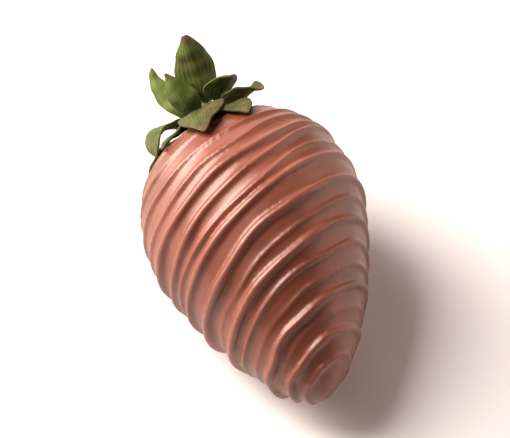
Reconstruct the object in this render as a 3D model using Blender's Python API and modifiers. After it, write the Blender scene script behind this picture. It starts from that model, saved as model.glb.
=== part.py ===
"""Chocolate coated strawberry, lying on its side with its leafy cap on.

One closed solid is the dipped fruit with its drizzle ridges. The cap is a hub with its
stub of stalk, broad sepals and narrow bractlets between them, each its own solid.

World frame: metres, +Z up. The tip points to -Y and a little down, the leafy cap
to +Y. The origin is on the floor, under the middle of the object's box.

Berry frame, in which the shapes are worked out: x to the right, s along the fruit's
axis from its leafy end to its tip, and h up, square to both.
"""

import math

import bmesh
import bpy
from mathutils import Matrix, Vector

MM = 0.001

# Dipped fruit
BODY_LENGTH = 50.2 * MM
BODY_WIDTH = 36.1 * MM
WIDEST_AT = 0.38  # share of the length from the leafy end
SHOULDER_POWER = 2.2
TAPER_POWER = 1.31
TIP_POWER = 0.64
TIP_BEND = -1.2 * MM  # how far the tip leans to the right of a straight axis
LOBE_TWO = 0.012  # unevenness of the cross-section, as a share of the radius
LOBE_THREE = 0.010
HOLLOW_DEPTH = 1.6 * MM  # the dip in which the leafy cap sits
HOLLOW_RADIUS = 5.5 * MM
HOLLOW_WITHIN = 0.25  # the dip is worked out only in this first share of the length

# Pose on the floor
TIP_DOWN = math.radians(12.5)
FOOT_CUT = 0.6 * MM  # depth of the flat that forms where the wet coat set
SKIRT_REACH = 0.8 * MM  # how far the coat ran out round that flat
SKIRT_HEIGHT = 1.1 * MM

# Drizzle: each strand lies in a plane square to this direction of the berry frame
DRIZZLE_NORMAL = Vector((0.24, 0.92, 0.31)).normalized()
# Place along the axis where the strand crosses the left shoulder and radius, in mm; turn
# from the common slant, in degrees; share of the radius on the left and on the right side
STRANDS = (
    (7.0, 0.45, 6.0, 0.80, 0.70),
    (10.6, 0.48, 6.0, 0.90, 0.70),
    (13.9, 0.50, 4.0, 0.80, 0.70),
    (17.0, 0.72, 2.0, 1.00, 0.60),
    (19.8, 0.66, -2.0, 1.00, 0.60),
    (24.4, 0.90, 1.0, 0.85, 0.60),
    (29.0, 0.86, 0.0, 1.00, 0.60),
    (32.2, 0.46, -1.0, 0.40, 0.90),
    (34.5, 0.76, -1.5, 1.00, 0.70),
    (37.2, 0.52, 0.0, 0.70, 0.90),
    (39.6, 0.44, -2.0, 0.35, 0.90),
    (41.9, 0.76, -5.0, 1.00, 0.70),
    (46.0, 0.64, -3.0, 1.00, 0.80),
    (48.3, 0.48, -5.0, 0.90, 0.80),
)
SHOULDER = -8.0 * MM  # how far right of the fruit's middle that shoulder is
SWEEP = 3.2 * MM  # how far the strands bend back to the leafy end on the right
SWEEP_LENGTH = 24.0 * MM
STRAND_HALF_WIDTH = 1.4  # half of a ridge's foot, in radii of its strand
STRAND_HEIGHT = 1.25
STRAND_ROOM = 0.45  # most of the way to the next strand that a ridge's foot may take
# A strand is at full height where the coat leans under by less than the first value, and
# has run out where it leans under by more than the second (the normal's height, downward)
STRAND_FULL = 0.50
STRAND_GONE = 0.88
SEGMENTS = 52
ROWS_AT_LEAFY_END = 5
ROWS_AT_TIP = 5
END_CROWDING = 1.6  # over 1, the rows of the mesh crowd towards the two ends

# Leafy cap
SEAT_BELOW_RIM = 0.4 * MM  # how deep the hub sits in the dip
HUB_RADIUS = 3.7 * MM
HUB_RIM_ABOVE = 0.6 * MM  # height of the dome's shoulder
HUB_RIM_BELOW = 0.6 * MM
STALK_RADIUS = 1.15 * MM
STALK_FLARE = 1.5  # widening of the stalk where it meets the hub
STALK_WAIST = 0.88
STALK_LENGTH = 4.5 * MM
STALK_CHAMFER = 0.35 * MM
HUB_STEPS = 20
LEAF_THICKNESS = 0.5 * MM
LEAF_ROOT_FROM = 0.05  # the leaf starts this far into its outline curve
LEAF_SKEW = 0.9  # under 1, the leaf is widest nearer its root
LEAF_FULLNESS = 0.85
LEAF_BLUNTNESS = 0.06  # half width left at the very point
CURVE_STEPS = 24  # short chords that a leaf's bent midrib is summed from
LEAF_COLUMNS = 4
LEAF_ROWS = 8
# Round the axis, from the right side over the top, in degrees; length and width in mm;
# rise away from the fruit at the root and at the point, in degrees; distance of the root
# from the axis and its height above the hub's rim, in mm; twist from root to point and
# upward bend of each half at its edge, in degrees
SEPALS = (
    (102, 12.8, 8.0, 36, 62, 2.9, 2.9, 0, 48),
    (133, 9.4, 5.3, 18, 83, 3.75, 1.80, 0, 30),
    (181, 10.5, 5.8, 56, -100, 3.8, 0.60, 42, 14),
    (222, 12.5, 6.2, 4, -46, 4.0, 0.10, 0, 20),
    (274, 12.0, 6.6, 4, -40, 4.0, 0.10, 0, 20),
    (330, 12.5, 6.2, 8, -34, 4.0, 0.10, 0, 20),
    (56, 8.3, 6.8, 16, -26, 4.0, 0.90, -20, 35),
    (114, 14.0, 8.4, 7, -66, 4.1, 0.98, 0, -8),
    (84, 11.8, 7.0, 9, -60, 4.0, 0.05, 0, -5),
    (151, 10.2, 5.4, 4, -50, 4.0, 0.05, 0, 0),
    (77, 7.0, 6.4, 33, -12, 4.1, 2.25, 0, 28),
)
BRACTLETS = (
    (173, 12.0, 5.0, 38, 107, 3.1, 1.80, -60, 46),
    (215, 8.5, 2.0, 36, 4, 2.9, 1.35, 0, 40),
    (249, 8.0, 2.2, 44, 10, 2.9, 1.35, 0, 40),
    (303, 8.5, 2.2, 44, 16, 2.9, 1.35, 0, 40),
    (14, 7.0, 2.2, 34, 0, 2.9, 1.35, 0, 40),
)

MILK_CHOCOLATE = (0.224, 0.095, 0.058)
LEAF_GREEN = (0.060, 0.120, 0.032)
BRACTLET_GREEN = (0.120, 0.180, 0.062)
STALK_GREEN = (0.240, 0.300, 0.110)


def clear_scene():
    for obj in list(bpy.data.objects):
        bpy.data.objects.remove(obj, do_unlink=True)


def make_material(name, colour, roughness):
    material = bpy.data.materials.new(name)
    material.use_nodes = True
    shader = material.node_tree.nodes["Principled BSDF"]
    shader.inputs["Base Color"].default_value = (*colour, 1.0)
    shader.inputs["Roughness"].default_value = roughness
    shader.inputs["Metallic"].default_value = 0.0
    return material


def profile(share):
    """Radius at a share of the length from the leafy end, as a share of the widest."""
    if not 0.0 < share < 1.0:
        return 0.0
    if share < WIDEST_AT:
        x = (WIDEST_AT - share) / WIDEST_AT
        return (1.0 - x**SHOULDER_POWER) ** (1.0 / SHOULDER_POWER)
    x = (share - WIDEST_AT) / (1.0 - WIDEST_AT)
    return (1.0 - x**TAPER_POWER) ** TIP_POWER


def axis_bend(s):
    """How far the middle of the fruit has wandered to the right at s."""
    return TIP_BEND * max(0.0, s / BODY_LENGTH - WIDEST_AT) ** 2 / (1.0 - WIDEST_AT) ** 2


def body_radius(s, angle):
    """Distance from the middle of the fruit to the smooth coat, at s and at an angle."""
    lobes = 1.0 + LOBE_TWO * math.cos(2 * angle + 0.5) + LOBE_THREE * math.cos(3 * angle - 0.9)
    return 0.5 * BODY_WIDTH * profile(s / BODY_LENGTH) * lobes


def excess(point):
    """How far a point of the berry frame is outside the smooth coat, sideways."""
    x = point.x - axis_bend(point.y)
    return math.hypot(x, point.z) - body_radius(point.y, math.atan2(point.z, x))


def distance_to_coat(start, direction):
    """Distance along a ray from inside the fruit to its coat, by halving."""
    near, far = 0.0, BODY_LENGTH
    for _ in range(30):
        middle = 0.5 * (near + far)
        if excess(start + middle * direction) < 0.0:
            near = middle
        else:
            far = middle
    return near


def coat_normal(point):
    """Outward direction of the coat at a point on it."""
    step = 0.2 * MM
    slopes = []
    for axis in (Vector((step, 0, 0)), Vector((0, step, 0)), Vector((0, 0, step))):
        slopes.append(excess(point + axis) - excess(point - axis))
    return Vector(slopes).normalized()


def coat_points():
    """Points spread over the smooth coat, among them its two ends."""
    points = []
    for i in range(181):
        s = BODY_LENGTH * 0.5 * (1 - math.cos(math.pi * i / 180))
        for j in range(72):
            angle = math.tau * j / 72
            r = body_radius(s, angle)
            points.append(Vector((axis_bend(s) + r * math.cos(angle), s, r * math.sin(angle))))
    return points


def ring_frame():
    """The two ends of the ring family and the two directions across its planes."""
    points = coat_points()
    first = min(points, key=DRIZZLE_NORMAL.dot)
    last = max(points, key=DRIZZLE_NORMAL.dot)
    across = Vector((1, 0, 0)) - DRIZZLE_NORMAL * DRIZZLE_NORMAL.x
    across.normalize()
    return first, last, across, across.cross(DRIZZLE_NORMAL)


def smooth_step(share):
    share = max(0.0, min(1.0, share))
    return share * share * (3.0 - 2.0 * share)


def column(angle, frame):
    """(depth, ridge height) of each row of the mesh at one angle round the rings."""
    first, last, across, over = frame
    start, end = first.dot(DRIZZLE_NORMAL), last.dot(DRIZZLE_NORMAL)
    outward = math.cos(angle) * across + math.sin(angle) * over
    side = 0.5 * (1 + math.cos(angle))  # 0 on the left side, 1 on the right
    crests, radii, heights = [], [], []
    for place, strand_radius, turn, left, right in STRANDS:
        depth = place * MM * DRIZZLE_NORMAL.y
        centre = first.lerp(last, (depth - start) / (end - start))
        reach = distance_to_coat(centre, outward) * math.cos(angle)
        beyond = centre.dot(across) + reach - SHOULDER
        shift = math.tan(math.radians(turn)) * beyond - SWEEP * smooth_step(beyond / SWEEP_LENGTH)
        crests.append(depth + shift * DRIZZLE_NORMAL.y)
        radii.append(strand_radius * MM)
        heights.append(STRAND_HEIGHT * strand_radius * MM * (left + (right - left) * side))
    rows = []
    for i, crest in enumerate(crests):
        before = crests[i - 1] if i else start
        after = crests[i + 1] if i + 1 < len(crests) else end
        foot = STRAND_HALF_WIDTH * radii[i]
        if i:
            rows.append((0.5 * (before + crest), 0.0))
        rows.append((crest - min(foot, STRAND_ROOM * (crest - before)), 0.0))
        rows.append((crest, heights[i]))
        rows.append((crest + min(foot, STRAND_ROOM * (after - crest)), 0.0))
    head, tail = [], []
    for i in range(ROWS_AT_LEAFY_END):
        share = (i / ROWS_AT_LEAFY_END) ** END_CROWDING
        head.append((start + (rows[0][0] - start) * share, 0.0))
    for i in range(1, ROWS_AT_TIP + 1):
        share = (1 - i / ROWS_AT_TIP) ** END_CROWDING
        tail.append((end + (rows[-1][0] - end) * share, 0.0))
    return head + rows + tail


def strand_share(downward):
    """Share of a strand's height left where the coat faces down by this much."""
    return smooth_step((STRAND_GONE - downward) / (STRAND_GONE - STRAND_FULL))


def berry_to_world():
    """Matrix from the berry frame to the world, with the coat's lowest point at -FOOT_CUT."""
    tilt = Matrix.Rotation(TIP_DOWN, 4, "X")
    turn = Matrix(((1, 0, 0, 0), (0, -1, 0, 0), (0, 0, 1, 0), (0, 0, 0, 1)))
    matrix = tilt @ turn
    lowest = min((matrix @ point).z for point in coat_points())
    return Matrix.Translation((0, 0, -FOOT_CUT - lowest)) @ matrix


def stand_on_origin(parts, root):
    """Moves the whole object so that its box stands on the origin."""
    bpy.context.view_layer.update()
    graph = bpy.context.evaluated_depsgraph_get()
    corners = []
    for obj in parts.objects:
        if obj.type == "MESH":
            shown = obj.evaluated_get(graph)
            corners += [shown.matrix_world @ vert.co for vert in shown.to_mesh().vertices]
            shown.to_mesh_clear()
    for axis in (0, 1):
        places = [corner[axis] for corner in corners]
        root.location[axis] = -0.5 * (min(places) + max(places))


def make_body(collection, to_world):
    rows_in_all = len(STRANDS) * 4 - 1 + ROWS_AT_LEAFY_END + ROWS_AT_TIP
    bm = bmesh.new()
    bmesh.ops.create_uvsphere(bm, u_segments=SEGMENTS, v_segments=rows_in_all - 1, radius=1.0)
    frame = ring_frame()
    first, last, across, over = frame
    start, end = first.dot(DRIZZLE_NORMAL), last.dot(DRIZZLE_NORMAL)
    columns = [column(math.tau * i / SEGMENTS, frame) for i in range(SEGMENTS)]
    for vert in bm.verts:
        polar = math.acos(max(-1.0, min(1.0, vert.co.z)))
        row = round(polar / math.pi * (rows_in_all - 1))
        turn = round(math.atan2(vert.co.y, vert.co.x) / math.tau * SEGMENTS) % SEGMENTS
        depth, height = columns[turn][row]
        centre = first.lerp(last, (depth - start) / (end - start))
        if 0 < row < rows_in_all - 1:
            angle = math.tau * turn / SEGMENTS
            outward = math.cos(angle) * across + math.sin(angle) * over
            point = centre + distance_to_coat(centre, outward) * outward
            normal = coat_normal(point)
            downward = -(to_world.to_3x3() @ normal).z
            point += height * strand_share(downward) * normal
        else:
            point = centre
        from_axis = math.hypot(point.x, point.z)
        if point.y < HOLLOW_WITHIN * BODY_LENGTH:
            point.y += HOLLOW_DEPTH * math.exp(-((from_axis / HOLLOW_RADIUS) ** 2))
        vert.co = to_world @ point
    spread_skirt(bm)
    cut_foot(bm)
    mesh = bpy.data.meshes.new("coated_berry")
    bm.to_mesh(mesh)
    bm.free()
    body = bpy.data.objects.new("coated_berry", mesh)
    collection.objects.link(body)
    return body


def spread_skirt(bm):
    """Widens the coat a little just above the floor, round the flat foot."""
    low = [vert for vert in bm.verts if vert.co.z < 0.0]
    middle = sum((vert.co for vert in low), Vector()) / len(low)
    for vert in bm.verts:
        if vert.co.z > 4 * SKIRT_HEIGHT:
            continue
        away = Vector((vert.co.x - middle.x, vert.co.y - middle.y, 0.0))
        share = math.exp(-max(vert.co.z, 0.0) / SKIRT_HEIGHT)
        vert.co += away.normalized() * SKIRT_REACH * share


def cut_foot(bm):
    """Cuts the body off at the floor and closes it with one flat face."""
    bmesh.ops.bisect_plane(
        bm,
        geom=bm.verts[:] + bm.edges[:] + bm.faces[:],
        dist=0.001 * MM,
        plane_co=(0, 0, 0),
        plane_no=(0, 0, 1),
        clear_inner=True,
    )
    rim = [edge for edge in bm.edges if edge.is_boundary]
    bmesh.ops.holes_fill(bm, edges=rim, sides=0)
    bmesh.ops.recalc_face_normals(bm, faces=bm.faces[:])


def leaf_outline(share):
    """Half width of a leaf as a share of its widest, from root to point."""
    place = LEAF_ROOT_FROM + (1.0 - LEAF_ROOT_FROM) * share
    swell = math.sin(math.pi * place**LEAF_SKEW) ** LEAF_FULLNESS
    return LEAF_BLUNTNESS + (1.0 - LEAF_BLUNTNESS) * swell


def across_leaf(half, across, bend):
    """Sideways place and height of a point across a leaf whose halves are bent into arcs."""
    if bend == 0.0:
        return half * across, 0.0
    radius = half / bend
    return radius * math.sin(bend * across), radius * (1.0 - math.cos(bend * across))


def leaf_mesh(name, row):
    """A leaf along +Y from the hub, rising to +Z, curled, twisted and cupped by its row."""
    length, width, root_rise, point_rise, start = row[1:6]
    twist, cup = row[7:]
    bm = bmesh.new()
    bmesh.ops.create_grid(bm, x_segments=LEAF_COLUMNS, y_segments=LEAF_ROWS, size=1.0)
    for vert in bm.verts:
        share = 0.5 * (vert.co.y + 1.0)
        along, rise = start * MM, 0.0
        chord = share * length * MM / CURVE_STEPS
        for i in range(CURVE_STEPS):
            t = share * (i + 0.5) / CURVE_STEPS
            angle = math.radians(root_rise + (point_rise - root_rise) * t)
            along += math.cos(angle) * chord
            rise += math.sin(angle) * chord
        half = 0.5 * width * MM * leaf_outline(share)
        side, up = across_leaf(half, vert.co.x, math.radians(cup))
        roll = math.radians(twist) * share
        side, up = side * math.cos(roll) - up * math.sin(roll), side * math.sin(roll) + up * math.cos(roll)
        angle = math.radians(root_rise + (point_rise - root_rise) * share)
        vert.co = (side, along - up * math.sin(angle), rise + up * math.cos(angle))
    mesh = bpy.data.meshes.new(name)
    bm.to_mesh(mesh)
    bm.free()
    return mesh


def make_leaf(collection, name, row, seat):
    """One leaf solid: a curved sheet given its thickness, turned to its place round the axis."""
    turn, lift = row[0], row[6]
    leaf = bpy.data.objects.new(name, leaf_mesh(name, row))
    collection.objects.link(leaf)
    thicken = leaf.modifiers.new("Thickness", "SOLIDIFY")
    thicken.thickness = LEAF_THICKNESS
    thicken.offset = 0.0
    leaf.parent = seat
    leaf.location = (0, 0, lift * MM)
    leaf.rotation_euler = (0, 0, math.radians(turn) - math.pi / 2)
    return leaf


def hub_profile():
    """(radius, height) points of the hub, from the stalk's cut end to its underside."""
    return (
        (0.0, STALK_LENGTH),
        (STALK_RADIUS - STALK_CHAMFER, STALK_LENGTH),
        (STALK_RADIUS, STALK_LENGTH - STALK_CHAMFER),
        (STALK_RADIUS * STALK_WAIST, 0.6 * STALK_LENGTH),
        (STALK_RADIUS, 0.35 * STALK_LENGTH),
        (STALK_RADIUS * STALK_FLARE, 0.2 * STALK_LENGTH),
        (0.75 * HUB_RADIUS, HUB_RIM_ABOVE),
        (HUB_RADIUS, 0.0),
        (0.93 * HUB_RADIUS, -0.75 * HUB_RIM_BELOW),
        (0.6 * HUB_RADIUS, -HUB_RIM_BELOW),
        (0.0, -HUB_RIM_BELOW),
    )


def make_hub(collection, seat):
    """The cap's domed disc and its stub of stalk, turned from one profile."""
    mesh = bpy.data.meshes.new("cap_hub")
    points = [(radius, 0.0, height) for radius, height in hub_profile()]
    mesh.from_pydata(points, [(i, i + 1) for i in range(len(points) - 1)], [])
    hub = bpy.data.objects.new("cap_hub", mesh)
    collection.objects.link(hub)
    turning = hub.modifiers.new("Turned", "SCREW")
    turning.steps = turning.render_steps = HUB_STEPS
    turning.use_merge_vertices = True
    turning.merge_threshold = 0.00001
    hub.parent = seat
    return hub


def main():
    clear_scene()
    parts = bpy.data.collections.new("chocolate_coated_strawberry")
    bpy.context.scene.collection.children.link(parts)
    chocolate = make_material("milk_chocolate", MILK_CHOCOLATE, 0.42)
    leaf_green = make_material("sepal_green", LEAF_GREEN, 0.6)
    pale_green = make_material("bractlet_green", BRACTLET_GREEN, 0.6)
    stalk_green = make_material("stalk_green", STALK_GREEN, 0.6)

    root = bpy.data.objects.new("strawberry", None)
    parts.objects.link(root)
    to_world = berry_to_world()
    body = make_body(parts, to_world)
    body.data.materials.append(chocolate)
    body.parent = root

    seat = bpy.data.objects.new("cap_seat", None)
    parts.objects.link(seat)
    seat.parent = root
    out_of_fruit = Matrix.Rotation(math.pi / 2, 4, "X")
    seat.matrix_world = to_world @ Matrix.Translation((0, SEAT_BELOW_RIM, 0)) @ out_of_fruit

    hub = make_hub(parts, seat)
    hub.data.materials.append(stalk_green)
    for i, row in enumerate(SEPALS, 1):
        sepal = make_leaf(parts, f"sepal_{i:02d}", row, seat)
        sepal.data.materials.append(leaf_green)
    for i, row in enumerate(BRACTLETS, 1):
        bractlet = make_leaf(parts, f"bractlet_{i:02d}", row, seat)
        bractlet.data.materials.append(pale_green)

    for obj in parts.objects:
        if obj.type == "MESH":
            obj.data.shade_smooth()
            obj.data.set_sharp_from_angle(angle=math.radians(40))
    stand_on_origin(parts, root)


main()
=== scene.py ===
"""Chocolate coated strawberry, lying on its side with its leafy cap on.

Laid out as an add-on: the settings hold the sizes and colours, each operator models one
piece or one group of like pieces, and the panel lists them. Run as a script, it builds
everything in order.

The fruit is modelled along -Y with its leafy end at the origin, and then tipped and set
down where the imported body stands.
"""

import math

import bmesh
import bpy
from bpy.props import (
    FloatProperty,
    FloatVectorProperty,
    PointerProperty,
)
from mathutils import Matrix, Vector, noise


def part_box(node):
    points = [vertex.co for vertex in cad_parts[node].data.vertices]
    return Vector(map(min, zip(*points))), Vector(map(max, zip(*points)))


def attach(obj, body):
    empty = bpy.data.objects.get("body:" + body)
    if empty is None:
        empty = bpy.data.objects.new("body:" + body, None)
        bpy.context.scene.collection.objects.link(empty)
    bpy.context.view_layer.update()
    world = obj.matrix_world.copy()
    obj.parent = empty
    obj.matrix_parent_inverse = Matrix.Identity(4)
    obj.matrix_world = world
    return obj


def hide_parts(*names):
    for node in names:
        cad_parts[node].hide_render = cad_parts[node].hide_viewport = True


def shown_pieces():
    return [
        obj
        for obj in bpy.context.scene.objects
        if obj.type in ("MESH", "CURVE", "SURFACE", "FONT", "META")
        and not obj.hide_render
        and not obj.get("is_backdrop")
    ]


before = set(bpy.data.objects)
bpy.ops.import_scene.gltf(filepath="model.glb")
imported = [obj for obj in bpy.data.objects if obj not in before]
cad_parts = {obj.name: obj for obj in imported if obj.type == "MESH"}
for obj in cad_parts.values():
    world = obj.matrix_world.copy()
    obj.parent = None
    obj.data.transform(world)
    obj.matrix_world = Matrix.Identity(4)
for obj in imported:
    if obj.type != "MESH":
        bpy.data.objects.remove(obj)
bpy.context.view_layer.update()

bl_info = {
    "name": "Chocolate Coated Strawberry",
    "version": (1, 0, 0),
    "blender": (4, 5, 0),
    "location": "View3D > Sidebar > Strawberry",
    "description": "Models a dipped strawberry with its drizzle, leafy cap and studio",
    "category": "Add Mesh",
}

MM = 0.001

# ---------------------------------------------------------------- fruit and coat

RING_POINTS = 64
RINGS = 34
SHOULDER_POWER = 2.2
TAPER_POWER = 1.31
TIP_POWER = 0.64
HOLLOW_DEPTH = 1.6 * MM
HOLLOW_RADIUS = 5.5 * MM
HOLLOW_END = 0.25  # share of the length past which the fruit has no hollow
# The disc that closes the leafy end: its radius, as a share of the first ring's, and how
# much deeper it lies
CLOSING_SHARE = 0.4
CLOSING_DEPTH = 0.1 * MM
FRUIT_LUMP_SIZE = 16 * MM
CUT_THRESHOLD = 0.001 * MM

# Direction that the drizzle planes share, in the fruit's own frame: right, tipwards, up
DRIZZLE_NORMAL = Vector((0.24, 0.92, 0.31)).normalized()
# Of each strand: place along the fruit where it crosses the left shoulder and radius, in
# mm; turn from the common slant, in degrees; share of the radius on its left and right side
STRANDS = (
    (3.4, 0.45, 4.0, 0.80, 0.70),
    (7.0, 0.45, 6.0, 0.80, 0.70),
    (10.6, 0.48, 6.0, 0.90, 0.70),
    (13.9, 0.50, 4.0, 0.80, 0.70),
    (17.0, 0.72, 2.0, 1.00, 0.60),
    (19.8, 0.66, -2.0, 1.00, 0.60),
    (22.8, 0.48, 0.0, 0.90, 0.50),
    (25.0, 0.66, 1.0, 1.00, 0.70),
    (29.0, 0.86, 0.0, 1.00, 0.60),
    (32.2, 0.46, -1.0, 0.40, 0.90),
    (34.5, 0.76, -1.5, 1.00, 0.70),
    (37.2, 0.52, 0.0, 0.70, 0.90),
    (39.6, 0.44, -2.0, 0.35, 0.90),
    (41.9, 0.76, -5.0, 1.00, 0.70),
    (43.9, 0.42, -4.0, 0.35, 0.90),
    (46.0, 0.64, -3.0, 1.00, 0.80),
    (48.3, 0.48, -5.0, 0.90, 0.80),
)
SHOULDER = -8.0 * MM  # how far right of the fruit's middle that shoulder is
SWEEP = 3.2 * MM  # how far the strands bend back to the leafy end on the right
SWEEP_LENGTH = 24.0 * MM
STRAND_FULL = 0.50  # how far the coat may lean under before a strand starts to run out
STRAND_GONE = 0.88
THINNEST_STRAND = 0.02  # radius of a strand that has run out, as a share of a full one's
STRAND_ROUNDNESS = 8
# How closely the strays and the swellings of a strand follow each other, and the steps by
# which each strand takes a part of the noise for itself
STRAY_SCALE = 1.6
STRAY_STEP = 5.1
STRAY_LAYER = 3.7
SWELL_SCALE = 2.2
SWELL_STEP = 7.3

# The pool round the foot: half its length along the fruit, as a share of its width, and
# the height and size of the lumps in its edge
POOL_REACH = 0.62
POOL_LUMPS = 0.8 * MM
POOL_LUMP_SIZE = 4 * MM
# The set coat is softened a little, this many times over
SOFTEN_FACTOR = 0.5
SOFTEN_PASSES = 6

# ---------------------------------------------------------------- leafy cap

SEAT_BELOW_RIM = 0.4 * MM  # how deep the hub sits in the fruit's hollow
STALK_RADIUS = 1.15 * MM
STALK_LENGTH = 4.5 * MM
STALK_EDGE = 0.7  # how far from its middle the cut end reaches furthest, in stalk radii
# Round the axis, from the right side over the top, in degrees; length and width in mm;
# rise away from the fruit at the root and at the point, in degrees; distance of the root
# from the axis and its height above the hub's rim, in mm; twist from root to point and
# upward bend of each half at its edge, in degrees
SEPALS = (
    (102, 12.8, 8.0, 36, 62, 2.9, 2.9, 0, 48),
    (133, 9.4, 5.3, 18, 83, 3.75, 1.80, 0, 30),
    (181, 10.5, 5.8, 56, -100, 3.8, 0.60, 42, 14),
    (222, 12.5, 6.2, 4, -46, 4.0, 0.10, 0, 20),
    (274, 12.0, 6.6, 4, -40, 4.0, 0.10, 0, 20),
    (330, 12.5, 6.2, 8, -34, 4.0, 0.10, 0, 20),
    (56, 8.3, 6.8, 16, -26, 4.0, 0.90, -20, 35),
    (114, 14.0, 8.4, 7, -66, 4.1, 0.98, 0, -8),
    (84, 11.8, 7.0, 9, -60, 4.0, 0.05, 0, -5),
    (151, 10.2, 5.4, 4, -50, 4.0, 0.05, 0, 0),
    (77, 7.0, 6.4, 33, -12, 4.1, 2.25, 0, 28),
)
BRACTLETS = (
    (173, 12.0, 5.0, 38, 107, 3.1, 1.80, -60, 46),
    (215, 8.5, 2.0, 36, 4, 2.9, 1.35, 0, 40),
    (249, 8.0, 2.2, 44, 10, 2.9, 1.35, 0, 40),
    (303, 8.5, 2.2, 44, 16, 2.9, 1.35, 0, 40),
    (14, 7.0, 2.2, 34, 0, 2.9, 1.35, 0, 40),
)
LEAF_COLUMNS = 8
LEAF_ROWS = 16
# Where on its swell a leaf starts and how much of the swell it takes, and its least width
LEAF_FROM, LEAF_SPAN = 0.07, 0.93
LEAF_LEAST = 0.03
LEAF_WAVE_SIZE = 3.5 * MM
# Sepals that start this far out and this low, in mm, lie draped over the fruit
OUTER_START = 4.0
OUTER_LIFT = 1.0
# Red, green and blue of these leaves, beside those of the leaf settings
# Draped sepals: darker and browner, painted shade for where they lie under the cap
OUTER_PAINTED_SHADE = (0.90, 0.66, 0.75)
# Bractlets: paler, painted light where the key lamp catches them
BRACTLET_PAINTED_LIGHT = (1.35, 1.35, 1.35)
UNDER_PALER = 1.45
UNDER_WHITE = 0.025


def pick(*objects):
    """Selects only these, with the last one active."""
    if bpy.context.object and bpy.context.object.mode != "OBJECT":
        bpy.ops.object.mode_set(mode="OBJECT")
    bpy.ops.object.select_all(action="DESELECT")
    for obj in objects:
        obj.select_set(True)
    bpy.context.view_layer.objects.active = objects[-1]


def place_applied(obj):
    """Moves the object's place, turn and scale into its mesh."""
    pick(obj)
    bpy.ops.object.transform_apply(location=True, rotation=True, scale=True)


def apply_modifiers(obj):
    pick(obj)
    for modifier in list(obj.modifiers):
        bpy.ops.object.modifier_apply(modifier=modifier.name)


def subdivide_smoothly(obj, levels):
    modifier = obj.modifiers.new("Subdivision", "SUBSURF")
    modifier.levels = modifier.render_levels = levels
    apply_modifiers(obj)


def profile(share, widest_at):
    """Radius at a share of the length from the leafy end, as a share of the widest."""
    if share < widest_at:
        x = (widest_at - share) / widest_at
        return (1.0 - x**SHOULDER_POWER) ** (1.0 / SHOULDER_POWER)
    x = (share - widest_at) / (1.0 - widest_at)
    return (1.0 - x**TAPER_POWER) ** TIP_POWER


def fruit_rings(shape):
    """(depth from the leafy end, radius, sideways bend) of each ring of the fruit."""
    rings = []
    for i in range(1, RINGS):
        share = 0.5 * (1.0 - math.cos(math.pi * i / RINGS))
        radius = 0.5 * shape.width * profile(share, shape.widest_at)
        past = max(0.0, share - shape.widest_at) / (1.0 - shape.widest_at)
        dip = HOLLOW_DEPTH * math.exp(-((radius / HOLLOW_RADIUS) ** 2))
        depth = share * shape.length + (dip if share < HOLLOW_END else 0.0)
        rings.append((depth, radius, shape.tip_bend * past**2))
    return rings


def model_fruit(shape):
    """The fruit's smooth body, lofted ring by ring from its leafy end to its tip."""
    rings = fruit_rings(shape)
    depth, radius, bend = rings[0]
    bpy.ops.mesh.primitive_circle_add(
        vertices=RING_POINTS,
        radius=CLOSING_SHARE * radius,
        fill_type="NGON",
        location=(bend, -depth - CLOSING_DEPTH, 0.0),
        rotation=(math.pi / 2, 0.0, 0.0),
    )
    fruit = bpy.context.object
    place_applied(fruit)
    bpy.ops.object.mode_set(mode="EDIT")
    bpy.ops.mesh.select_all(action="SELECT")
    before = (depth + CLOSING_DEPTH, CLOSING_SHARE * radius, bend)
    for ring in rings:
        step = (ring[2] - before[2], before[0] - ring[0], 0.0)
        bpy.ops.mesh.extrude_region_move(TRANSFORM_OT_translate={"value": step})
        grow = ring[1] / before[1]
        centre = (ring[2], -ring[0], 0.0)
        bpy.ops.transform.resize(value=(grow, 1.0, grow), center_override=centre)
        before = ring
    bpy.ops.mesh.select_all(action="SELECT")
    bpy.ops.mesh.normals_make_consistent(inside=False)
    bpy.ops.object.mode_set(mode="OBJECT")
    subdivide_smoothly(fruit, 1)
    return fruit


def uneven(obj, height, size, name):
    """Raises and lowers the surface in soft lumps of that size."""
    lumps = bpy.data.textures.new(name, "CLOUDS")
    lumps.noise_scale = size
    lumps.noise_depth = 1
    modifier = obj.modifiers.new(name, "DISPLACE")
    modifier.texture = lumps
    modifier.texture_coords = "LOCAL"
    modifier.strength = height
    modifier.mid_level = 0.5
    apply_modifiers(obj)


def smooth_step(share):
    share = max(0.0, min(1.0, share))
    return share * share * (3.0 - 2.0 * share)


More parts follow.
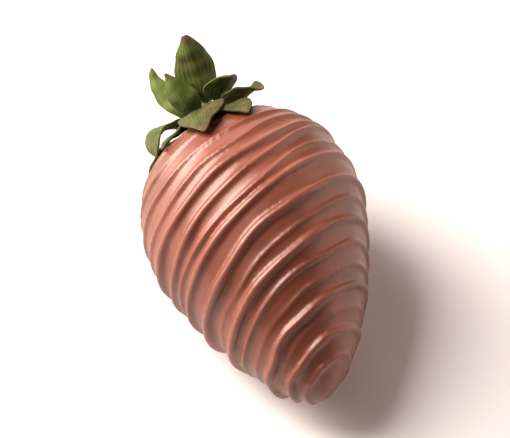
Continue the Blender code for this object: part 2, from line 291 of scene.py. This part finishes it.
def model_strand(fruit, number, drizzle, tip_down):
    """One strand of drizzle: the fruit's cut edge in the strand's plane, made a tube."""
    place, radius, turn, left, right = STRANDS[number]
    across = Vector((1, 0, 0)) - DRIZZLE_NORMAL * DRIZZLE_NORMAL.x
    across = Vector((across.x, -across.y, across.z)).normalized()
    pick(fruit)
    bpy.ops.object.duplicate()
    strand = bpy.context.object
    bpy.ops.object.mode_set(mode="EDIT")
    bpy.ops.mesh.select_all(action="SELECT")
    bpy.ops.mesh.bisect(
        plane_co=(0.0, -place * MM, 0.0),
        plane_no=(DRIZZLE_NORMAL.x, -DRIZZLE_NORMAL.y, DRIZZLE_NORMAL.z),
        clear_inner=True,
        clear_outer=True,
        threshold=CUT_THRESHOLD,
    )
    bpy.ops.object.mode_set(mode="OBJECT")
    middle = sum((vert.co for vert in strand.data.vertices), Vector()) / len(strand.data.vertices)
    seed = Vector((0.0, STRAY_STEP * number, STRAY_LAYER))
    for vert in strand.data.vertices:
        beyond = vert.co.dot(across) - SHOULDER
        stray = noise.noise(STRAY_SCALE * (vert.co - middle).normalized() + seed)
        vert.co.y -= math.tan(math.radians(turn)) * beyond
        vert.co.y += SWEEP * smooth_step(beyond / SWEEP_LENGTH) + drizzle.stray * stray
    cling = strand.modifiers.new("Cling", "SHRINKWRAP")
    cling.target = fruit
    cling.wrap_method = "NEAREST_SURFACEPOINT"
    apply_modifiers(strand)

    bpy.ops.object.convert(target="CURVE")
    down = Vector((0.0, math.sin(tip_down), -math.cos(tip_down)))
    points = max(strand.data.splines, key=lambda spline: len(spline.points)).points
    middle = sum((point.co.xyz for point in points), Vector()) / len(points)
    reach = max(abs(point.co.x - middle.x) for point in points)
    seed = Vector((SWELL_STEP * number, 0.0, 0.0))
    for point in points:
        outward = point.co.xyz - middle
        side = 0.5 * (1.0 + outward.x / reach)
        direction = outward.normalized()
        swell = 1.0 + drizzle.unevenness * noise.noise(SWELL_SCALE * direction + seed)
        left_over = (STRAND_GONE - direction.dot(down)) / (STRAND_GONE - STRAND_FULL)
        share = smooth_step(left_over) * (left + (right - left) * side) * swell
        point.radius = max(THINNEST_STRAND, radius * share)
        point.co.xyz += drizzle.proud * point.radius * drizzle.thickness * direction
    strand.data.dimensions = "3D"
    strand.data.fill_mode = "FULL"
    strand.data.bevel_depth = drizzle.thickness
    strand.data.bevel_resolution = STRAND_ROUNDNESS
    bpy.ops.object.convert(target="MESH")
    return bpy.context.object


def fruit_place(shape):
    """Matrix that tips a piece modelled in the fruit's frame and sets it where it stands.

    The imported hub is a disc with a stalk: its box is centred on the disc across and in
    height, and the stalk's cut end is its furthest point from the fruit's tip.
    """
    low, high = (Vector(corner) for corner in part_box("cap_hub"))
    outward = Vector((0.0, math.cos(shape.tip_down), math.sin(shape.tip_down)))
    disc = 0.5 * (low + high)
    disc.y = high.y - STALK_LENGTH * outward.y - STALK_EDGE * STALK_RADIUS * outward.z
    tip = Matrix.Rotation(shape.tip_down, 4, "X")
    return Matrix.Translation(disc + SEAT_BELOW_RIM * outward) @ tip


def set_down(obj, shape):
    """Moves a piece from the fruit's own frame to its place on the floor."""
    obj.matrix_world = fruit_place(shape) @ obj.matrix_world
    place_applied(obj)


def model_pool(shape):
    """The thin pool in which the wet coat set on the floor, wider than the fruit's foot."""
    bpy.ops.mesh.primitive_uv_sphere_add(segments=48, ring_count=24, radius=1.0)
    pool = bpy.context.object
    pool.scale = (shape.pool_width / 2, shape.pool_width * POOL_REACH, shape.pool_height)
    place_applied(pool)
    uneven(pool, POOL_LUMPS, POOL_LUMP_SIZE, "pool_edge")
    return pool


def cut_foot(obj):
    """Cuts the coat off level with the floor and closes it with one flat face."""
    pick(obj)
    bpy.ops.object.mode_set(mode="EDIT")
    bpy.ops.mesh.select_all(action="SELECT")
    bpy.ops.mesh.bisect(
        plane_co=(0.0, 0.0, 0.0),
        plane_no=(0.0, 0.0, 1.0),
        clear_inner=True,
        use_fill=True,
        threshold=CUT_THRESHOLD,
    )
    bpy.ops.object.mode_set(mode="OBJECT")


class CoatSettings(bpy.types.PropertyGroup):
    length: FloatProperty(
        name="Length", description="Coated fruit from its leafy end to its tip",
        default=50.2 * MM, min=0.02, max=0.09, unit="LENGTH",
    )
    width: FloatProperty(
        name="Width", description="Coated fruit at its widest",
        default=36.1 * MM, min=0.015, max=0.07, unit="LENGTH",
    )
    widest_at: FloatProperty(
        name="Widest At",
        description="Share of the length, from the leafy end, where the fruit is widest",
        default=0.38, min=0.1, max=0.8, subtype="FACTOR",
    )
    tip_bend: FloatProperty(
        name="Tip Bend", description="How far the tip leans to the right",
        default=-1.2 * MM, min=-0.01, max=0.01, unit="LENGTH",
    )
    tip_down: FloatProperty(
        name="Tip Down", description="How far the fruit's axis dips towards its tip",
        default=math.radians(12.5), min=0.0, max=math.radians(30), unit="ROTATION",
    )
    pool_width: FloatProperty(
        name="Pool Width",
        description="Coat that set on the floor round the foot, from side to side",
        default=13.4 * MM, min=0.0, max=0.04, unit="LENGTH",
    )
    pool_height: FloatProperty(
        name="Pool Height", description="Height of the coat that set on the floor",
        default=1.1 * MM, min=0.0, max=0.004, unit="LENGTH",
    )
    lumps: FloatProperty(
        name="Lumps", description="Height of the soft lumps of the fruit under the coat",
        default=0.9 * MM, min=0.0, max=0.003, unit="LENGTH",
    )
    fineness: FloatProperty(
        name="Fineness",
        description="Size of the small squares that the set coat's surface is made of",
        default=0.30 * MM, min=0.0002, max=0.002, unit="LENGTH",
    )
    light_colour: FloatVectorProperty(
        name="Light Chocolate", description="Milk chocolate where the coat is palest",
        default=(0.196, 0.053, 0.028), min=0.0, max=1.0, subtype="COLOR",
    )
    dark_colour: FloatVectorProperty(
        name="Dark Chocolate", description="Milk chocolate where the coat is darkest",
        default=(0.130, 0.031, 0.014), min=0.0, max=1.0, subtype="COLOR",
    )


class DrizzleSettings(bpy.types.PropertyGroup):
    thickness: FloatProperty(
        name="Thickness", description="Radius of a strand of full weight",
        default=1.0 * MM, min=0.0001, max=0.003, unit="LENGTH",
    )
    proud: FloatProperty(
        name="Proud", description="How far a strand's middle stands out of the coat, in radii",
        default=0.35, min=-1.0, max=1.0, subtype="FACTOR",
    )
    unevenness: FloatProperty(
        name="Unevenness", description="How much a strand swells and thins on its way",
        default=0.30, min=0.0, max=1.0, subtype="FACTOR",
    )
    stray: FloatProperty(
        name="Stray", description="How far a strand strays from its plane",
        default=0.7 * MM, min=0.0, max=0.003, unit="LENGTH",
    )


def new_material(name):
    """An empty node material and its Principled shader."""
    material = bpy.data.materials.new(name)
    material.use_nodes = True
    return material, material.node_tree.nodes["Principled BSDF"]


def add_node(material, kind, **settings):
    node = material.node_tree.nodes.new(kind)
    for name, value in settings.items():
        setattr(node, name, value)
    return node


def set_inputs(node, values):
    """Sets the node's inputs of these names to plain values."""
    for name, value in values.items():
        node.inputs[name].default_value = value


def link(material, source, target):
    material.node_tree.links.new(source, target)


def noise_node(material, place, scale, detail=3.0, rough=0.5):
    node = add_node(material, "ShaderNodeTexNoise")
    set_inputs(node, {"Scale": scale, "Detail": detail, "Roughness": rough})
    link(material, place, node.inputs["Vector"])
    return node.outputs["Fac"]


def ramp_node(material, source, stops):
    """A colour ramp through (position, linear colour) stops."""
    node = add_node(material, "ShaderNodeValToRGB")
    elements = node.color_ramp.elements
    while len(elements) < len(stops):
        elements.new(0.5)
    for element, (position, colour) in zip(elements, stops):
        element.position = position
        element.color = (*colour, 1.0)
    link(material, source, node.inputs["Fac"])
    return node.outputs["Color"]


def range_node(material, source, low, high, from_low=0.0, from_high=1.0):
    node = add_node(material, "ShaderNodeMapRange")
    set_inputs(node, {
        "From Min": from_low, "From Max": from_high, "To Min": low, "To Max": high,
    })
    link(material, source, node.inputs["Value"])
    return node.outputs["Result"]


def bump_node(material, height, distance, strength, after=None):
    node = add_node(material, "ShaderNodeBump")
    set_inputs(node, {"Distance": distance, "Strength": strength})
    link(material, height, node.inputs["Height"])
    if after:
        link(material, after, node.inputs["Normal"])
    return node.outputs["Normal"]


def mix_colour(material, factor, first, second, blend="MIX"):
    node = add_node(material, "ShaderNodeMix", data_type="RGBA", blend_type=blend)
    link(material, factor, node.inputs["Factor"])
    for value, socket in ((first, node.inputs["A"]), (second, node.inputs["B"])):
        if isinstance(value, bpy.types.NodeSocket):
            link(material, value, socket)
        else:
            socket.default_value = (*value, 1.0)
    return node.outputs["Result"]


def chocolate_material(coat):
    material, shader = new_material("set_milk_chocolate")
    place = add_node(material, "ShaderNodeTexCoord").outputs["Object"]
    clouds = noise_node(material, place, 95.0, 3.0)
    colour = ramp_node(material, clouds, (
        (0.35, tuple(coat.dark_colour)),
        (0.65, tuple(coat.light_colour)),
    ))
    link(material, colour, shader.inputs["Base Color"])
    satin = noise_node(material, place, 260.0, 2.0)
    link(material, range_node(material, satin, 0.38, 0.48), shader.inputs["Roughness"])
    set_inputs(shader, {
        "IOR": 1.58,
        "Specular IOR Level": 0.70,
        "Specular Tint": (1.0, 0.85, 0.78, 1.0),
    })
    flow = bump_node(material, noise_node(material, place, 420.0, 2.0), 0.25 * MM, 0.25)
    grain = noise_node(material, place, 2600.0, 2.0)
    link(material, bump_node(material, grain, 0.05 * MM, 0.25, flow), shader.inputs["Normal"])
    return material


class STRAWBERRY_OT_coated_berry(bpy.types.Operator):
    """Model the fruit in its chocolate coat, with the drizzle"""

    bl_idname = "strawberry.coated_berry"
    bl_label = "Coated Berry"

    def execute(self, context):
        coat = context.scene.strawberry_coat
        drizzle = context.scene.strawberry_drizzle
        fruit = model_fruit(coat)
        uneven(fruit, coat.lumps, FRUIT_LUMP_SIZE, "fruit_lumps")
        strands = [
            model_strand(fruit, number, drizzle, coat.tip_down) for number in range(len(STRANDS))
        ]
        pick(*strands, fruit)
        bpy.ops.object.join()
        set_down(fruit, coat)
        pool = model_pool(coat)
        pick(pool, fruit)
        bpy.ops.object.join()
        remesh = fruit.modifiers.new("Set coat", "REMESH")
        remesh.mode = "VOXEL"
        remesh.voxel_size = coat.fineness
        soften = fruit.modifiers.new("Soften", "SMOOTH")
        soften.factor = SOFTEN_FACTOR
        soften.iterations = SOFTEN_PASSES
        apply_modifiers(fruit)
        cut_foot(fruit)
        fruit.name = fruit.data.name = "chocolate_coat"
        fruit.data.materials.clear()
        fruit.data.materials.append(chocolate_material(coat))
        bpy.ops.object.shade_smooth()
        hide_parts("coated_berry")
        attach(fruit, "root")
        return {"FINISHED"}


def leaf_outline(share):
    """Half width of a leaf as a share of its widest, from root to point."""
    swell = math.sin(math.pi * (LEAF_FROM + LEAF_SPAN * share) ** 0.9) ** 0.85
    return max(LEAF_LEAST, swell)


def select_numbers(obj, wanted):
    """In edit mode, selects just the vertices whose number passes the test."""
    mesh = bmesh.from_edit_mesh(obj.data)
    for vert in mesh.verts:
        vert.select = wanted(vert.index)
    mesh.select_flush_mode()
    bmesh.update_edit_mesh(obj.data)


def vertex_place(obj, number):
    mesh = bmesh.from_edit_mesh(obj.data)
    mesh.verts.ensure_lookup_table()
    return mesh.verts[number].co.copy()


def cap_seat():
    """Matrix that turns a cap piece to face away from the tip and sinks it in the hollow."""
    sink = Matrix.Translation((0.0, -SEAT_BELOW_RIM, 0.0))
    return sink @ Matrix.Rotation(-math.pi / 2, 4, "X")


def model_leaf(name, row, leaf):
    """A leaf along +Y that rises to +Z: a grid cupped, drawn to its outline, twisted, curled."""
    angle, length, width, root_rise, point_rise, start, lift, twist, cup = row
    length, width = length * MM, width * MM
    bpy.ops.mesh.primitive_grid_add(
        x_subdivisions=LEAF_COLUMNS,
        y_subdivisions=LEAF_ROWS,
        size=1.0,
        calc_uvs=True,
        location=(0.0, 0.5 * length, 0.0),
    )
    blade = bpy.context.object
    blade.name = name
    blade.scale = (width, length, 1.0)
    place_applied(blade)
    across = LEAF_COLUMNS + 1
    middle = LEAF_COLUMNS // 2
    bpy.ops.object.mode_set(mode="EDIT")

    # cup: each half bent up column by column from the midrib
    bend = math.radians(cup) / middle
    for column in range(middle, LEAF_COLUMNS):
        for side in (1, -1):
            hinge = middle + side * (column - middle)
            select_numbers(blade, lambda n: side * (n % across - hinge) > 0)
            centre = vertex_place(blade, hinge)
            bpy.ops.transform.rotate(value=side * bend, orient_axis="Y", center_override=centre)
    # midrib: a fine groove along the upper face
    select_numbers(blade, lambda n: n % across == middle)
    bpy.ops.transform.translate(value=(0.0, 0.0, -leaf.groove))
    # outline: each row drawn in to its width
    for i in range(LEAF_ROWS + 1):
        select_numbers(blade, lambda n: n // across == i)
        draw_in = leaf_outline(i / LEAF_ROWS)
        centre = (0.0, i / LEAF_ROWS * length, 0.0)
        bpy.ops.transform.resize(value=(draw_in, 1.0, draw_in), center_override=centre)
    # twist: the rest of the leaf turned about its midrib from row to row
    for i in range(LEAF_ROWS):
        if twist:
            select_numbers(blade, lambda n: n // across > i)
            bpy.ops.transform.rotate(
                value=math.radians(twist) / LEAF_ROWS,
                orient_axis="Y",
                center_override=(0.0, 0.0, 0.0),
            )
    # curl: the rest of the leaf turned up or down from row to row
    for i in range(LEAF_ROWS):
        if i:
            step = (point_rise - root_rise) / LEAF_ROWS
        else:
            step = root_rise + 0.5 * (point_rise - root_rise) / LEAF_ROWS
        select_numbers(blade, lambda n: n // across > i)
        centre = vertex_place(blade, i * across + middle)
        bpy.ops.transform.rotate(
            value=-math.radians(step), orient_axis="X", center_override=centre
        )
    bpy.ops.object.mode_set(mode="OBJECT")
    subdivide_smoothly(blade, 1)
    uneven(blade, leaf.waves, LEAF_WAVE_SIZE, name + "_waves")
    thicken = blade.modifiers.new("Thickness", "SOLIDIFY")
    thicken.thickness = leaf.thickness
    thicken.offset = 0.0
    thicken.material_offset = 1
    apply_modifiers(blade)
    subdivide_smoothly(blade, 1)

    # to its place round the fruit's axis
    turn = Matrix.Rotation(math.radians(-angle - 90.0), 4, "Z")
    blade.matrix_world = cap_seat() @ turn @ Matrix.Translation((0.0, start * MM, lift * MM))
    place_applied(blade)
    return blade


def leaf_material(name, light, dark, tip):
    """Veined leaf green, from the leaf's own coordinates: u across it and v to its point."""
    material, shader = new_material(name)
    coordinates = add_node(material, "ShaderNodeTexCoord")
    place = coordinates.outputs["Object"]
    split = add_node(material, "ShaderNodeSeparateXYZ")
    link(material, coordinates.outputs["UV"], split.inputs["Vector"])
    clouds = noise_node(material, place, 320.0, 4.0, 0.6)
    green = ramp_node(material, clouds, ((0.35, dark), (0.65, light)))
    veins = add_node(material, "ShaderNodeTexWave", bands_direction="X")
    set_inputs(veins, {"Scale": 3.4, "Distortion": 1.6, "Detail": 2.0})
    link(material, coordinates.outputs["UV"], veins.inputs["Vector"])
    vein = range_node(material, veins.outputs["Fac"], 0.0, 0.35)
    green = mix_colour(material, vein, green, light)
    patches = noise_node(material, place, 210.0, 2.0)
    patch = range_node(material, patches, 0.0, 0.40, 0.50, 0.68)
    green = mix_colour(material, patch, green, tip)
    dry = add_node(material, "ShaderNodeMath", operation="ADD")
    link(material, split.outputs["Y"], dry.inputs[0])
    ragged = noise_node(material, place, 500.0)
    link(material, range_node(material, ragged, -0.12, 0.12), dry.inputs[1])
    dried = range_node(material, dry.outputs["Value"], 0.0, 1.0, 0.86, 0.99)
    link(material, mix_colour(material, dried, green, tip), shader.inputs["Base Color"])
    set_inputs(shader, {
        "Roughness": 0.55,
        "Specular IOR Level": 0.18,
        "Subsurface Weight": 0.12,
        "Subsurface Radius": (0.0006, 0.0009, 0.0003),
        "Subsurface Scale": 1.0,
        "Sheen Weight": 0.05,
        "Sheen Roughness": 0.4,
    })
    raised = bump_node(material, veins.outputs["Fac"], 0.10 * MM, 0.5)
    fine = noise_node(material, place, 1800.0, 3.0)
    link(material, bump_node(material, fine, 0.06 * MM, 0.5, raised), shader.inputs["Normal"])
    return material


def leaf_faces(name, leaf, tone):
    """Materials of a leaf's upper and paler under face; tone scales the three channels, which paints
    light or shade into some leaves.
    """
    light = tuple(c * t for c, t in zip(leaf.light_colour, tone))
    dark = tuple(c * t for c, t in zip(leaf.dark_colour, tone))
    tip = tuple(leaf.tip_colour)
    upper = leaf_material(name + "_upper", light, dark, tip)
    pale = tuple(UNDER_PALER * c + UNDER_WHITE for c in light)
    shade = tuple(UNDER_PALER * c for c in dark)
    return upper, leaf_material(name + "_under", pale, shade, tip)


def add_leaf(stem, number, row, context, faces):
    """Models leaf number so-and-so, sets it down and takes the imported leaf's place."""
    blade = model_leaf(f"{stem}_blade_{number:02}", row, context.scene.strawberry_leaf)
    set_down(blade, context.scene.strawberry_coat)
    for material in faces:
        blade.data.materials.append(material)
    bpy.ops.object.shade_smooth()
    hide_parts(f"{stem}_{number:02}")
    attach(blade, "root")


class STRAWBERRY_OT_sepals(bpy.types.Operator):
    """Model the broad leaves of the cap"""

    bl_idname = "strawberry.sepals"
    bl_label = "Sepals"

    def execute(self, context):
        leaf = context.scene.strawberry_leaf
        inner = leaf_faces("inner_sepal", leaf, (1.0, 1.0, 1.0))
        # The draped sepals' faces carry painted shade: darker and browner than the inner ones
        outer = leaf_faces("outer_sepal", leaf, OUTER_PAINTED_SHADE)
        for number, row in enumerate(SEPALS, 1):
            start, lift = row[5], row[6]
            draped = start >= OUTER_START and lift < OUTER_LIFT
            add_leaf("sepal", number, row, context, outer if draped else inner)
        return {"FINISHED"}


class STRAWBERRY_OT_bractlets(bpy.types.Operator):
    """Model the narrow leaves between the broad ones"""

    bl_idname = "strawberry.bractlets"
    bl_label = "Bractlets"

    def execute(self, context):
        # The bractlets' paler faces are painted light
        faces = leaf_faces("bractlet", context.scene.strawberry_leaf, BRACTLET_PAINTED_LIGHT)
        for number, row in enumerate(BRACTLETS, 1):
            add_leaf("bractlet", number, row, context, faces)
        return {"FINISHED"}


HUB_POINTS = 24
CUT_END_RIM = 0.25 * MM
CUT_END_DEPTH = 0.12 * MM
HUB_LUMPS = 0.35 * MM
HUB_LUMP_SIZE = 1.6 * MM
# Of the hub and its stalk, from the underside to the cut end: radius and height in mm
HUB_RINGS = (
    (2.9, -0.60), (3.5, -0.35), (3.7, 0.0), (3.3, 0.38), (2.7, 0.68), (2.1, 0.84), (1.65, 1.05),
    (1.30, 1.45), (1.12, 2.0), (1.04, 2.8), (1.08, 3.6), (1.16, 4.15), (1.12, 4.42), (0.92, 4.5),
)


def hub_material(colour):
    material, shader = new_material("stalk_skin")
    place = add_node(material, "ShaderNodeTexCoord").outputs["Object"]
    clouds = noise_node(material, place, 420.0, 4.0)
    darker = tuple(0.62 * c for c in colour)
    skin = ramp_node(material, clouds, ((0.35, darker), (0.65, tuple(colour))))
    link(material, skin, shader.inputs["Base Color"])
    set_inputs(shader, {
        "Roughness": 0.55,
        "Subsurface Weight": 0.15,
        "Subsurface Radius": (0.0008, 0.0010, 0.0004),
        "Subsurface Scale": 1.0,
    })
    fibres = noise_node(material, place, 1400.0, 3.0)
    link(material, bump_node(material, fibres, 0.1 * MM, 0.6), shader.inputs["Normal"])
    return material


class STRAWBERRY_OT_cap_hub(bpy.types.Operator):
    """Model the middle of the cap with its stub of stalk"""

    bl_idname = "strawberry.cap_hub"
    bl_label = "Cap Hub"

    def execute(self, context):
        coat = context.scene.strawberry_coat
        radius, height = HUB_RINGS[0]
        bpy.ops.mesh.primitive_circle_add(
            vertices=HUB_POINTS, radius=radius * MM, fill_type="NGON", location=(0.0, 0.0, height * MM)
        )
        hub = bpy.context.object
        place_applied(hub)
        bpy.ops.object.mode_set(mode="EDIT")
        bpy.ops.mesh.select_all(action="SELECT")
        for before, ring in zip(HUB_RINGS, HUB_RINGS[1:]):
            rise = (0.0, 0.0, (ring[1] - before[1]) * MM)
            bpy.ops.mesh.extrude_region_move(TRANSFORM_OT_translate={"value": rise})
            grow = ring[0] / before[0]
            bpy.ops.transform.resize(value=(grow, grow, 1.0))
        bpy.ops.mesh.inset(thickness=CUT_END_RIM)
        bpy.ops.transform.translate(value=(0.0, 0.0, -CUT_END_DEPTH))
        bpy.ops.mesh.select_all(action="SELECT")
        bpy.ops.mesh.normals_make_consistent(inside=False)
        bpy.ops.object.mode_set(mode="OBJECT")
        subdivide_smoothly(hub, 2)
        uneven(hub, HUB_LUMPS, HUB_LUMP_SIZE, "hub_lumps")
        hub.matrix_world = cap_seat()
        place_applied(hub)
        set_down(hub, coat)
        hub.name = hub.data.name = "hub_with_stalk"
        hub.data.materials.append(hub_material(context.scene.strawberry_leaf.stalk_colour))
        bpy.ops.object.shade_smooth()
        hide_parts("cap_hub")
        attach(hub, "root")
        return {"FINISHED"}


class LeafSettings(bpy.types.PropertyGroup):
    thickness: FloatProperty(
        name="Thickness", description="Thickness of a leaf",
        default=0.35 * MM, min=0.0001, max=0.002, unit="LENGTH",
    )
    groove: FloatProperty(
        name="Groove", description="Depth of the groove over the midrib",
        default=0.22 * MM, min=0.0, max=0.002, unit="LENGTH",
    )
    waves: FloatProperty(
        name="Waves", description="Height of the ripples in a leaf",
        default=1.3 * MM, min=0.0, max=0.004, unit="LENGTH",
    )
    light_colour: FloatVectorProperty(
        name="Light Green", description="Leaf green where it is palest",
        default=(0.074, 0.104, 0.015), min=0.0, max=1.0, subtype="COLOR",
    )
    dark_colour: FloatVectorProperty(
        name="Dark Green", description="Leaf green where it is darkest",
        default=(0.026, 0.041, 0.005), min=0.0, max=1.0, subtype="COLOR",
    )
    tip_colour: FloatVectorProperty(
        name="Dried Tip", description="Colour of a leaf's dried point",
        default=(0.120, 0.074, 0.032), min=0.0, max=1.0, subtype="COLOR",
    )
    stalk_colour: FloatVectorProperty(
        name="Stalk", description="Colour of the hub and its stalk",
        default=(0.240, 0.270, 0.100), min=0.0, max=1.0, subtype="COLOR",
    )


# ---------------------------------------------------------------- studio

SENSOR_WIDTH = 36.0
PICTURE_WIDE, PICTURE_HIGH = 510, 438
CLIP_NEAR, CLIP_FAR = 0.01, 50.0
FLOOR_SIZE = 6.0
FLOOR_LIGHT = (0.74, 0.73, 0.71)
FLOOR_DARK = (0.70, 0.69, 0.67)
MIDDLE_HEIGHT = 0.018  # of the strawberry, which every light faces
LIGHT_DISTANCE = 0.60
# Name; turn from the tip to the right and height, in degrees; width and height in metres;
# watts; colour
LIGHTS = (
    ("key_softbox", -128.0, 42.0, (0.34, 0.56), 11.8, (1.0, 0.91, 0.87)),
    ("low_key_softbox", -138.0, 8.0, (0.34, 0.24), 2.4, (1.0, 0.86, 0.78)),
    ("back_softbox", 165.0, 14.0, (0.26, 0.26), 0.9, (1.0, 0.86, 0.80)),
    ("side_card", 80.0, 20.0, (0.60, 0.60), 2.4, (1.0, 0.74, 0.64)),
    ("front_card", -60.0, 52.0, (0.30, 0.30), 0.25, (1.0, 0.84, 0.76)),
)
AIR_COLOUR = (1.0, 0.86, 0.78, 1.0)
AIR_STRENGTH = 0.03


class StageSettings(bpy.types.PropertyGroup):
    view_azimuth: FloatProperty(
        name="View Azimuth", description="Side that the camera stands on, from the tip's end",
        default=math.radians(-30.0), unit="ROTATION",
    )
    view_elevation: FloatProperty(
        name="View Elevation", description="Height of the camera over the floor",
        default=math.radians(55.6), unit="ROTATION",
    )
    view_roll: FloatProperty(
        name="View Roll", description="Tilt of the camera about its own line of sight",
        default=math.radians(7.9), unit="ROTATION",
    )
    view_distance: FloatProperty(
        name="View Distance", description="Camera to strawberry",
        default=0.87, min=0.2, max=5.0, unit="LENGTH",
    )
    filled: FloatProperty(
        name="Filled", description="Share of the picture's height that the strawberry takes",
        default=0.84, min=0.1, max=1.0, subtype="FACTOR",
    )


def floor_material():
    material, shader = new_material("pale_floor")
    place = add_node(material, "ShaderNodeTexCoord").outputs["Object"]
    tone = noise_node(material, place, 3.0, 4.0)
    colour = ramp_node(material, tone, ((0.3, FLOOR_DARK), (0.7, FLOOR_LIGHT)))
    link(material, colour, shader.inputs["Base Color"])
    shader.inputs["Roughness"].default_value = 0.75
    return material


def camera_axes(stage):
    """The picture's right, its up, and the direction to the camera."""
    a, e, r = stage.view_azimuth, stage.view_elevation, stage.view_roll
    right = Vector((math.cos(a), math.sin(a), 0.0))
    up = Vector((-math.sin(a) * math.sin(e), math.cos(a) * math.sin(e), math.cos(e)))
    towards = Vector((math.sin(a) * math.cos(e), -math.cos(a) * math.cos(e), math.sin(e)))
    return (
        right * math.cos(r) + up * math.sin(r),
        up * math.cos(r) - right * math.sin(r),
        towards,
    )


def add_camera(stage):
    right, up, towards = camera_axes(stage)
    bpy.ops.object.camera_add(location=(0.0, 0.0, 1.0))
    camera = bpy.context.object
    camera.name = "product_camera"
    points = []
    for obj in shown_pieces():
        points += [vert.co for vert in obj.data.vertices]
    spans = []
    for axis in (right, up):
        places = [point.dot(axis) for point in points]
        spans.append((min(places), max(places)))
    depth = sum(point.dot(towards) for point in points) / len(points)
    target = right * 0.5 * sum(spans[0]) + up * 0.5 * sum(spans[1]) + towards * depth
    turn = Matrix((right, up, towards)).transposed().to_4x4()
    camera.matrix_world = Matrix.Translation(target + stage.view_distance * towards) @ turn
    height = (spans[1][1] - spans[1][0]) / stage.filled
    camera.data.sensor_width = SENSOR_WIDTH
    width = height * PICTURE_WIDE / PICTURE_HIGH
    camera.data.lens = SENSOR_WIDTH * stage.view_distance / width
    camera.data.clip_start = CLIP_NEAR
    camera.data.clip_end = CLIP_FAR
    bpy.context.scene.camera = camera


def add_softbox(name, azimuth, elevation, size, watts, colour):
    """A flat light that faces the strawberry, from one row of LIGHTS."""
    a, e = math.radians(azimuth), math.radians(elevation)
    direction = Vector((math.sin(a) * math.cos(e), -math.cos(a) * math.cos(e), math.sin(e)))
    centre = Vector((0.0, 0.0, MIDDLE_HEIGHT))
    bpy.ops.object.light_add(type="AREA", location=centre + direction * LIGHT_DISTANCE)
    lamp = bpy.context.object
    lamp.name = name
    lamp.rotation_euler = direction.to_track_quat("Z", "Y").to_euler()
    lamp.data.shape = "RECTANGLE"
    lamp.data.size, lamp.data.size_y = size
    lamp.data.energy = watts
    lamp.data.color = colour


class STRAWBERRY_OT_stage(bpy.types.Operator):
    """Set up the pale floor, the soft lights and the camera"""

    bl_idname = "strawberry.stage"
    bl_label = "Studio"

    def execute(self, context):
        stage = context.scene.strawberry_stage
        add_camera(stage)
        bpy.ops.mesh.primitive_plane_add(size=FLOOR_SIZE, location=(0.0, 0.0, 0.0))
        floor = bpy.context.object
        floor.name = floor.data.name = "studio_floor"
        floor.data.materials.append(floor_material())
        floor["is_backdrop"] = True
        for light in LIGHTS:
            add_softbox(*light)
        world = bpy.data.worlds.new("studio_air")
        world.use_nodes = True
        air = world.node_tree.nodes["Background"]
        set_inputs(air, {"Color": AIR_COLOUR, "Strength": AIR_STRENGTH})
        context.scene.world = world
        context.scene.view_settings.view_transform = "Standard"
        return {"FINISHED"}


class STRAWBERRY_PT_panel(bpy.types.Panel):
    """The strawberry's settings and the buttons that model its pieces"""

    bl_idname = "STRAWBERRY_PT_panel"
    bl_label = "Chocolate Coated Strawberry"
    bl_space_type = "VIEW_3D"
    bl_region_type = "UI"
    bl_category = "Strawberry"

    def draw(self, context):
        for title, name, operators in GROUPS:
            box = self.layout.box()
            box.label(text=title)
            group = getattr(context.scene, name)
            for key in group.bl_rna.properties.keys():
                if key not in ("rna_type", "name"):
                    box.prop(group, key)
            for operator in operators:
                box.operator(operator.bl_idname)


GROUPS = (
    ("Coated fruit", "strawberry_coat", (STRAWBERRY_OT_coated_berry,)),
    ("Drizzle", "strawberry_drizzle", ()),
    (
        "Leafy cap",
        "strawberry_leaf",
        (STRAWBERRY_OT_cap_hub, STRAWBERRY_OT_sepals, STRAWBERRY_OT_bractlets),
    ),
    ("Studio", "strawberry_stage", (STRAWBERRY_OT_stage,)),
)
SETTINGS = {
    "strawberry_coat": CoatSettings,
    "strawberry_drizzle": DrizzleSettings,
    "strawberry_leaf": LeafSettings,
    "strawberry_stage": StageSettings,
}
CLASSES = (
    *SETTINGS.values(),
    STRAWBERRY_OT_coated_berry,
    STRAWBERRY_OT_cap_hub,
    STRAWBERRY_OT_sepals,
    STRAWBERRY_OT_bractlets,
    STRAWBERRY_OT_stage,
    STRAWBERRY_PT_panel,
)


def register():
    for cls in CLASSES:
        bpy.utils.register_class(cls)
    for name, cls in SETTINGS.items():
        setattr(bpy.types.Scene, name, PointerProperty(type=cls))


def unregister():
    for name in SETTINGS:
        delattr(bpy.types.Scene, name)
    for cls in reversed(CLASSES):
        bpy.utils.unregister_class(cls)


def main():
    register()
    bpy.ops.strawberry.coated_berry()
    bpy.ops.strawberry.cap_hub()
    bpy.ops.strawberry.sepals()
    bpy.ops.strawberry.bractlets()
    bpy.ops.strawberry.stage()


if __name__ == "__main__":
    main()
